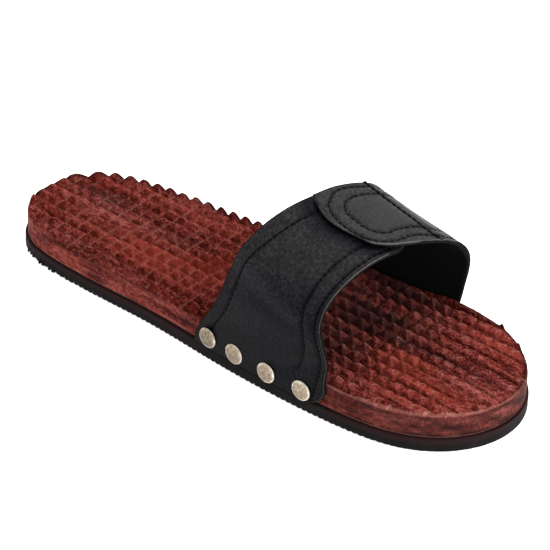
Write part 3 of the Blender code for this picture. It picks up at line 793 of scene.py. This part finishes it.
def leather_kind(name, stops, gloss, level, pebble_mm, depth):
    """Leather from a broad noise for its tone, rounded cells for its pebble and a fine noise for its grit."""
    material, tree, shader, skin_mm = new_material(name)
    dry, wrinkle, grit = (add_node(tree, "TexNoise", {"Vector": skin_mm, "Scale": 1 / size, "Detail": detail})
                          for size, detail in ((DRY_MM, 6.0), (3 * pebble_mm, 4.0), (pebble_mm / 0.6, 3.0)))
    pebble = add_node(tree, "TexVoronoi", {"Vector": skin_mm, "Scale": 1 / pebble_mm, "Smoothness": 0.6},
                      feature="SMOOTH_F1")
    height = add_node(tree, "Math", {0: wrinkle, 1: 0.8, 2: pebble}, operation="MULTIPLY_ADD")
    # the mesh's value is dust and painted light: lighter with height and on the flap as painted sheen, darker along
    # seams and in a painted shadow along the flap's end
    dust_and_painted_light, speckle = (add_node(tree, "Attribute", attribute_name=label).outputs["Fac"]
                     for label in ("dust_and_painted_light", "speckle"))
    worn = add_node(tree, "Math", {0: dry, 1: 0.3, 2: dust_and_painted_light}, operation="MULTIPLY_ADD")
    centred = add_node(tree, "Math", {0: grit, 1: 0.5}, operation="SUBTRACT")
    worn = add_node(tree, "Math", {0: centred, 1: speckle, 2: worn}, operation="MULTIPLY_ADD")
    fill(tree, shader, {
        "Base Color": add_node(tree, "ValToRGB", {"Fac": worn}, stops=stops),
        "Roughness": add_node(tree, "MapRange", {"Value": dry, "From Min": 0.3, "From Max": 0.7,
                                                 "To Min": gloss - 0.06, "To Max": gloss + 0.08}),
        "Normal": add_node(tree, "Bump", {"Height": height, "Strength": 0.5, "Distance": depth}),
        "Specular IOR Level": level})
    return material


leather = leather_kind("black grain leather", (
    (0.15, "#060508"), (0.32, "#131118"), (0.55, "#201f21"), (0.85, "#343232")), 0.42, 0.05, 0.9, 0.0004)
lining = leather_kind("black lining leather", ((0.20, "#101010"), (0.8, "#1a1a1a")), 0.75, 0.03, 0.6, 0.0002)
edge_highlight = leather_kind("leather edge, painted highlight", ((0.20, "#232221"), (0.8, "#5f5c58")), 0.7, 0.20, 0.5, 0.0003)
print("leather kinds", leather.name, lining.name, edge_highlight.name)

# %% [markdown]
# ## The two halves of the strap
# Each half is a thick sheet with round edges. Solidify could give it a wall, but its edges would stay square, so a
# closed section is carried along the arch: grain side, front edge, flesh side, rear edge. At both ends it thins to
# close the sheet. The medial half starts with the flap's round end, lies on the lateral half and comes down to the
# arch behind it.

# %% Shape of the flap and of the relief
LATERAL_END = 0.605
TONGUE_SETBACK, TONGUE_RANGE = 0.10, (0.50, 0.555)
# the lower front corner of the lateral half: its height on the arch and how much is rounded off, then how much
# fuller the edge above it is, where, and over what half width
CORNER_HEIGHT, CORNER_ROUND = 0.020, 0.040
CORNER_FULL, FULL_AT, FULL_HALF_WIDTH = 0.035, 0.045, 0.03
# share across the strap and place along the arch of the flap's round end
FLAP_OUTLINE = np.array((
    (0.00, 0.4800), (0.05, 0.4705), (0.15, 0.4625), (0.30, 0.4535), (0.45, 0.4515), (0.60, 0.4560), (0.75, 0.4630),
    (0.87, 0.4725), (0.94, 0.4900), (0.98, 0.5180), (1.00, 0.5560),
))
# mm of lift where the flap lies on the lateral half, and where on the arch that ends
FLAP_LIFT, LIFT_RANGE = 2.1, (0.625, 0.75)
# mm that the flap's end stands off, that its rear corner is thinned, and that the rear edge and medial side rise
TIP_RISE, CORNER_SKIVE, REAR_RISE, MEDIAL_RISE = 0.9, 1.5, 0.8, 0.8
SEAM_DEPTH, SEAM_WIDTH = 0.45, 0.9
# mm that the leather puffs up between seams on the lateral and medial half, and inside the inner seam
LATERAL_PUFF, MEDIAL_PUFF, PILLOW = 0.25, 0.22, 0.4
# below, the numbers given to ease are shares of the arch and of the way across, or mm for a gap


def flap_end(v):
    """Round end of the flap: a small corner at the rear and a wide one at the front."""
    return spline(FLAP_OUTLINE[:, 0], FLAP_OUTLINE[:, 1:], np.clip(v, 0, 1))[..., 0]


def tongue_front(u):
    """Front edge of the lateral half as a share of the width, set back where the flap covers it and rounded off at
    the lower corner."""
    low = np.clip(1 - u / CORNER_HEIGHT, 0, 1)
    corner = CORNER_FULL * bell(u - FULL_AT, FULL_HALF_WIDTH) - CORNER_ROUND * (1 - np.sqrt(1 - low ** 2))
    return 1 + corner - TONGUE_SETBACK * ease(u, *TONGUE_RANGE)


def no_lift(u, v):
    """The lateral half's flesh side lies on the arch."""
    return np.zeros_like(u)


def flap_lift(u, v):
    """Height of the medial half over the arch: one wall where it lies on the lateral half, and more where the
    middle and front of its end stand off."""
    standing = ease(v, 0.2, 0.5) * ease(u - flap_end(v), 0.045, 0.0)
    return FLAP_LIFT * ease(u, *LIFT_RANGE[::-1]) + TIP_RISE * standing


def lateral_relief(u, v):
    """Puff between the seams, less seam troughs and creases."""
    gap = seam_gap(u, v, LATERAL_SEAMS)
    puff = LATERAL_PUFF * ease(gap, 0.5, 7.0) + REAR_RISE * ease(v, 0.45, 0.05) * ease(u, 0.2, 0.3)
    return puff - SEAM_DEPTH * bell(gap, SEAM_WIDTH) - crease_depth(u, v, LATERAL_CREASES)


def medial_relief(u, v):
    """Lift of the flap, its pillow inside the inner seam, less seam troughs, creases and the thin rear corner."""
    gap = seam_gap(u, v, MEDIAL_SEAMS)
    thin = CORNER_SKIVE * ease(v, 0.22, 0.02) * ease(u - flap_end(v), 0.05, 0.0)
    inside = ease(u, 0.485, 0.53) * ease(u, 0.66, 0.56) * ease(v, 0.26, 0.40) * ease(v, 0.84, 0.70)
    puff = MEDIAL_PUFF * ease(gap, 0.5, 5.0) + PILLOW * inside + REAR_RISE * ease(v, 0.45, 0.05)
    puff = puff + MEDIAL_RISE * ease(u, 0.62, 0.75) * ease(u, 0.95, 0.85)
    hollow = SEAM_DEPTH * bell(gap, SEAM_WIDTH) + thin + crease_depth(u, v, MEDIAL_CREASES)
    return flap_lift(u, v) + puff - hollow


print("flap end at edge and middle", flap_end(np.array([0.0, 0.5])).round(3))

# %% Halves of the strap
GRAIN_POINTS, EDGE_POINTS, END_POINTS = 97, 7, 6
# radius of the edges in mm, the angle to which the ends are rounded, and how close points crowd to the edges
EDGE_ROUND, END_ROUND, CROWDING = 1.0, 0.94 * math.pi / 2, 0.6
# numbers of the lining and of the pale edge with its painted highlight among the strap's materials, and the point
# where the flap's highlighted rim starts
LINING, HIGHLIGHTED_EDGE, RIM_FROM = 1, 2, 24
# height above the floor and how much lighter the leather is there, partly dust and partly painted sheen; then the
# painted sheen added on the flap
STRAP_DUST_AND_SHEEN = np.array(((8.0, 0.0), (22.0, 0.05), (45.0, 0.10), (55.0, 0.28), (62.0, 0.43), (72.0, 0.49),
                       (85.0, 0.46)))
FLAP_SHEEN = 0.10
# how much the leather is darkened along a seam and by the painted shadow along the flap's end, and how far ahead of
# the end that shadow reaches, in mm
SEAM_DARK, FLAP_SHADOW, FLAP_SHADOW_MM = 0.25, 0.45, 5.5


def strap_half(start, end, front, relief, flesh, stations):
    """Section of grain, front edge, flesh and rear edge in (v, depth), carried from one end curve to the other;
    its points lie closer together towards both edges."""
    bend = np.linspace(0, math.pi, EDGE_POINTS + 2)[1:-1]
    even, ones, zeros = np.linspace(0, 1, GRAIN_POINTS), np.ones(GRAIN_POINTS), np.zeros(GRAIN_POINTS)
    crowded = even - CROWDING * np.sin(TURN * even) / TURN
    reach = np.concatenate([zeros, np.sin(bend), zeros, -np.sin(bend)])
    v_line = np.concatenate([crowded, np.ones(EDGE_POINTS), crowded[::-1], np.zeros(EDGE_POINTS)])
    depth = np.concatenate([-ones, -np.cos(bend), ones, np.cos(bend)])

    tip = np.linspace(0, END_ROUND, END_POINTS)[1:]
    round_u = EDGE_ROUND / ARCH
    shrink = np.concatenate([np.cos(tip[::-1]), np.ones(stations), np.cos(tip)])[:, None]
    past_end = round_u * np.concatenate([-np.sin(tip[::-1]), np.zeros(stations), np.sin(tip)])[:, None]
    run = np.concatenate([0 * tip, np.linspace(0, 1, stations), 0 * tip + 1])[:, None]
    near, far = start(v_line) + round_u, end(v_line) - round_u
    u = near + run * (far - near) + past_end
    round_v = EDGE_ROUND / strap_width(u)
    v = round_v + v_line * (front(u) - 2 * round_v) + reach * round_v
    within = np.clip(v, 0, 1)

    grain = (1 - depth) / 2
    height = grain * relief(u, within) + (1 - grain) * flesh(u, within) - STRAP_WALL / 2 * (1 + depth * shrink)
    return strap_point(u, v) + height[..., None] * strap_normal(u, within), u, within


def strap_faces(rows, ring, highlight_rows, rim_rows):
    """Quads between neighbouring sections, and strips that join grain and flesh at both ends, with the material of
    each. The pale edge with its painted highlight shows on the upper part of the front edge, in the first rows, and on
    the flap's rim."""
    grain = np.arange(GRAIN_POINTS - 1)
    flesh = 2 * GRAIN_POINTS + EDGE_POINTS - 1 - grain
    cap = np.column_stack([grain + 1, grain, flesh, flesh - 1])
    front = np.arange(GRAIN_POINTS - 1, GRAIN_POINTS + EDGE_POINTS + 1)
    rear = np.append(np.arange(flesh[0], ring), 0)
    last = (rows - 1) * ring
    caps = np.concatenate([cap, cap[:, ::-1] + last])
    corners = [corner.tolist() for corner in (front[::-1], rear[::-1], front + last, rear + last)]
    kind = np.zeros((rows - 1, ring))
    kind[:, GRAIN_POINTS:] = LINING
    kind[:highlight_rows, GRAIN_POINTS] = HIGHLIGHTED_EDGE
    kind[1:rim_rows, RIM_FROM:GRAIN_POINTS] = HIGHLIGHTED_EDGE
    kinds = np.concatenate([kind.ravel(), np.zeros(len(caps) + len(corners))])
    return hoops(rows, ring).tolist() + caps.tolist() + corners, kinds


def strap_marks(skin, u, v, seams, is_flap):
    """How light the leather is: by height, partly dust and partly painted sheen, with more painted sheen on the flap,
    less along the seams, at the flap's rim and in a painted shadow along the flap's end; and how grainy it is: the
    bands along the edges and the flap more than the smooth middle."""
    ahead = ARCH * (flap_end(v) - u)
    # lighter with height, as dust and painted sheen, and darker along the seams
    dust_and_painted_light = np.interp(skin[..., 2], *STRAP_DUST_AND_SHEEN.T) - SEAM_DARK * bell(seam_gap(u, v, seams), SEAM_WIDTH)
    band = ease(v, 0.17, 0.11) + ease(v, 0.78, 0.82)
    if is_flap:
        pad = ease(u, 0.49, 0.51) * ease(u, 0.64, 0.60) * ease(v, 0.22, 0.32) * ease(v, 0.78, 0.68)
        band = band + (1.1 - band) * ease(u, 0.72, 0.62) - 1.4 * pad
        # painted sheen on the flap, darker at its rim and its front edge
        rim = (0.22 + 0.3 * ease(v, 0.6, 0.25)) * bell(ahead, 1.2)
        dust_and_painted_light = dust_and_painted_light + FLAP_SHEEN - np.maximum(rim, 0.25 * ease(v, 0.985, 1.0))
    else:
        band = np.maximum(band, 0.8 * ease(skin[..., 2], 38, 55))
        # painted shadow that the flap's end casts on the lateral half
        dust_and_painted_light = dust_and_painted_light - FLAP_SHADOW * bell(ahead, FLAP_SHADOW_MM)
    return {"dust_and_painted_light": dust_and_painted_light.ravel(), "speckle": (0.5 + 0.5 * band).ravel()}


# both ends, front edge, relief of grain and flesh, rows, seams, rows with a highlighted front edge and rows of
# highlighted rim
for name, half_shape, seams, highlight_rows, rim_rows in (
        ("strap_lateral", (np.zeros_like, lambda v: np.full_like(v, LATERAL_END), tongue_front, lateral_relief,
                           no_lift, 210), LATERAL_SEAMS, 172, 0),
        ("strap_medial", (flap_end, np.ones_like, np.ones_like, medial_relief, flap_lift, 190), MEDIAL_SEAMS, 50, 4)):
    skin, u, v = strap_half(*half_shape)
    faces, kinds = strap_faces(*u.shape, highlight_rows, rim_rows)
    marks = strap_marks(skin, u, v, seams, seams is MEDIAL_SEAMS)
    add_piece(name, skin.reshape(-1, 3), faces, [leather, lining, edge_highlight], ["upper_strap"], marks, kinds)

# %% [markdown]
# ## Waxed thread
# The stitches are black waxed thread, a little duller than the leather and lying in the seam troughs. A texture
# would look painted on, so each stitch is a short tube that dives in at both ends. All of them are worked out
# together and joined in one mesh.

# %% Thread material
PLY_MM = 0.5
thread, tree, shader, thread_mm = new_material("black waxed thread")
plies = add_node(tree, "TexNoise", {"Vector": thread_mm, "Scale": 1 / PLY_MM, "Detail": 2.0})
fill(tree, shader, {
    "Base Color": add_node(tree, "ValToRGB", {"Fac": plies}, stops=((0.3, "#020202"), (0.8, "#080808"))),
    "Normal": add_node(tree, "Bump", {"Height": plies, "Strength": 0.5, "Distance": 0.0001}),
    "Roughness": 0.6, "Specular IOR Level": 0.05})
print("thread nodes", len(tree.nodes))

# %% Stitches
FIRST_STITCH, STITCH_PITCH, STITCH_LENGTH = 0.4, 3.0, 2.8
# radius and length of a stitch; the bold row is sewn with doubled thread, end over end, and tied off at both ends
PLAIN_THREAD = (0.28, STITCH_LENGTH)
BOLD_THREAD = {"cross": (0.52, 3.7), "rear knot": (0.7, STITCH_LENGTH), "front knot": (0.85, STITCH_LENGTH)}
# how far a stitch arches up and how deep its ends dive, in radii, and how thin it is there
ARCH_UP, DIVE, THIN_END = 1.5, 0.8, 0.55
TUBE_RINGS, TUBE_SIDES = 7, 6


def stitches(seam, relief, radius, reach):
    """Tubes along a seam: the middle of each rides just over the leather, both ends dive below it."""
    line, length = dense(seam)
    starts = np.arange(FIRST_STITCH, length[-1] - STITCH_LENGTH, STITCH_PITCH)
    share = np.linspace(0, 1, TUBE_RINGS)
    arched = np.sin(math.pi * share)
    u, v = (np.interp(starts[:, None] + share * reach, length, column) for column in line.T)
    normal = strap_normal(u, v)
    rise = relief(u, v) + radius * (ARCH_UP * arched ** 0.6 - DIVE)
    centre = strap_point(u, v) + rise[..., None] * normal
    aside = np.cross(unit(np.gradient(centre, axis=1)), normal)
    turn = np.linspace(0, TURN, TUBE_SIDES, endpoint=False)[:, None]
    size = radius * (THIN_END + (1 - THIN_END) * arched ** 0.5)
    ring = np.cos(turn) * normal[:, :, None] + np.sin(turn) * aside[:, :, None]
    return centre[:, :, None] + size[:, None, None] * ring


tubes = [stitches(seam, lateral_relief, *PLAIN_THREAD) for seam in LATERAL_SEAMS.values()]
tubes += [stitches(seam, medial_relief, *BOLD_THREAD.get(name, PLAIN_THREAD)) for name, seam in MEDIAL_SEAMS.items()]
tubes = np.concatenate(tubes)
add_piece("strap_stitches", tubes.reshape(-1, 3), tube_faces(len(tubes), TUBE_RINGS, TUBE_SIDES, inside_out=True),
          [thread], ["upper_strap"])
print("stitches", len(tubes))

# %% [markdown]
# ## Pale brass
# The tacks are plated brass, pressed into domes and dulled by handling: pale, slightly yellow, with a soft
# reflection broken by fine dents. A plain metal would look new, so noise changes the roughness and the tone, and a
# value kept on the mesh paints a highlight on the rims, darkens the middles a little, and lightens the lateral tacks
# towards the toe as painted light.

# %% Brass material
DENT_MM = 1.6
brass, tree, shader, brass_mm = new_material("pale brass, pressed and dulled")
dents = add_node(tree, "TexNoise", {"Vector": brass_mm, "Scale": 1 / DENT_MM, "Detail": 3.0})
# the mesh's value: how polished each tack is, with painted light on the lateral tacks towards the toe and a painted
# highlight on the rims
polish_and_light = add_node(tree, "Attribute", attribute_name="polish_and_light").outputs["Fac"]
bright = add_node(tree, "Math", {0: dents, 1: 0.9, 2: polish_and_light}, operation="MULTIPLY_ADD")
fill(tree, shader, {
    "Base Color": add_node(tree, "ValToRGB", {"Fac": bright}, stops=(
        (0.25, "#463e34"), (0.45, "#75695a"), (0.75, "#9c8d7a"), (1.0, "#dcd3c6"))),
    "Roughness": add_node(tree, "MapRange", {"Value": dents, "To Min": 0.30, "To Max": 0.50}),
    "Normal": add_node(tree, "Bump", {"Height": dents, "Strength": 0.35, "Distance": 0.0004}),
    "Metallic": 1.0})
print("brass nodes", len(tree.nodes))

# %% [markdown]
# ## The tacks
# A tack is a shape of revolution: point, shank, flat underside, rolled rim and dome. The Screw modifier would turn
# a profile too, but all tacks of a side come at once when the profile is turned and placed with arrays.

# %% Tacks
TACK_RADIUS, TACK_DOME, TACK_RIM = 5.2, 1.2, 0.35
SHANK_RADIUS, SHANK_LENGTH, SHANK_POINT = 0.85, 9.0, 1.6
# radius of the closing ring at both tips
TIP_RADIUS = 0.02
TACK_TURNS = 40
# how much brighter the rim is, as a painted highlight, and how much darker the middle
RIM_HIGHLIGHT, CENTRE_DULL = 0.55, 0.02
# side, then place along the shoe, height and how polished each tack is; on the lateral side that value rises
# towards the toe as painted light
TACKS = {
    "lateral": (1, ((-0.3, 13.4, 0.0), (16.5, 12.7, 0.1), (36.3, 12.0, 0.15), (57.1, 12.2, 0.2))),
    "medial": (-1, ((9.7, 13.2, 0.1), (27.7, 12.5, 0.1), (47.2, 12.2, 0.15), (67.7, 12.4, 0.1))),
}
# radius and height over the leather, from the point to the top of the dome
profile = [(TIP_RADIUS, -SHANK_LENGTH - SHANK_POINT), (SHANK_RADIUS, -SHANK_LENGTH), (SHANK_RADIUS, CLEARANCE),
           (TACK_RADIUS - 0.3, CLEARANCE), (TACK_RADIUS - 0.05, CLEARANCE + 0.15)]
profile += [(TACK_RADIUS * math.cos(t), CLEARANCE + TACK_RIM + TACK_DOME * math.sin(t))
            for t in np.linspace(0, math.pi / 2, 12)[:-1]]
profile += [(TIP_RADIUS, CLEARANCE + TACK_RIM + TACK_DOME)]
radius, rise = np.array(profile).T
# painted highlight on the rim, and a slightly darker middle
rim_highlight_profile = RIM_HIGHLIGHT * (radius / TACK_RADIUS) ** 8 - CENTRE_DULL * (1 - (radius / TACK_RADIUS) ** 2)
turn = np.linspace(0, TURN, TACK_TURNS, endpoint=False)[:, None]

for side_name, (side, rows) in TACKS.items():
    along, height, polish_and_light = np.array(rows).T
    # the strap's side just behind, at and just ahead of each tack
    sections = [sole_section(along + nudge) for nudge in (-1.0, 0.0, 1.0)]
    behind, edge, before = (middle + side * (half + STRAP_OUT) for _, middle, half in sections)
    outward = unit(np.stack([np.full_like(along, side), -side * (before - behind) / 2, 0 * along], axis=-1))
    upward = np.broadcast_to([0.0, 0.0, 1.0], outward.shape)
    level_out = np.cross(upward, outward)
    foot = np.stack([edge, along, height], axis=-1)
    rim = np.cos(turn) * level_out[:, None] + np.sin(turn) * upward[:, None]
    points = (foot[:, None, None] + rise[:, None, None] * outward[:, None, None]
              + radius[:, None, None] * rim[:, None])
    nodes = ["tack_" + side_name + "_" + str(number + 1) for number in range(len(rows))]
    marks = {"polish_and_light": np.repeat((polish_and_light[:, None] + rim_highlight_profile).ravel(), TACK_TURNS)}
    add_piece("tacks_" + side_name, points.reshape(-1, 3), tube_faces(len(rows), len(radius), TACK_TURNS), [brass],
              nodes, marks)

# %% [markdown]
# ## Floor and light
# The photo has a white ground without a shadow, as on a table lit from below in a light tent. A darker floor would
# catch shadows. A plain pale floor with a little glow of its own, an even white surround and two large soft lamps,
# over the far side and the toe, give that.

# %% Floor and light
# half side and height in metres: a hair below the tread, so that the two don't coincide
FLOOR_HALF, FLOOR_HEIGHT = 3.0, -0.0002
WHITE = (1.0, 1.0, 1.0, 1.0)
floor_material = bpy.data.materials.new("pale lit table")
floor_material.use_nodes = True
tree = floor_material.node_tree
fill(tree, tree.nodes["Principled BSDF"], {
    "Base Color": linear("#fafaf9"), "Roughness": 0.9, "Specular IOR Level": 0.1, "Emission Color": WHITE,
    "Emission Strength": 0.7})
floor_mesh = bpy.data.meshes.new("floor")
corners = [(FLOOR_HALF * a, FLOOR_HALF * b, FLOOR_HEIGHT) for a, b in ((-1, -1), (1, -1), (1, 1), (-1, 1))]
floor_mesh.from_pydata(corners, [], [[0, 1, 2, 3]])
floor_mesh.materials.append(floor_material)
floor = bpy.data.objects.new("floor", floor_mesh)
scene.collection.objects.link(floor)

world = bpy.data.worlds.new("light tent")
world.use_nodes = True
fill(world.node_tree, world.node_tree.nodes["Background"], {"Color": WHITE, "Strength": 0.85})
scene.world = world
scene.view_settings.view_transform = "Standard"

# name, place and aim in metres, size in metres, power in watts
for name, spot, aim, size, power in (
        ("overhead softbox", (-0.86, -0.30, 1.05), (0, 0, 0.03), 1.1, 11.0),
        ("toe softbox", (-0.15, 1.25, 0.70), (0, 0, 0.03), 1.0, 14.0)):
    lamp = bpy.data.lights.new(name, "AREA")
    lamp.size = size
    lamp.energy = power
    light = bpy.data.objects.new(name, lamp)
    light.location = spot
    light.rotation_mode = "QUATERNION"
    light.rotation_quaternion = (Vector(aim) - Vector(spot)).to_track_quat("-Z", "Y")
    scene.collection.objects.link(light)
print("lamps", len(bpy.data.lights))
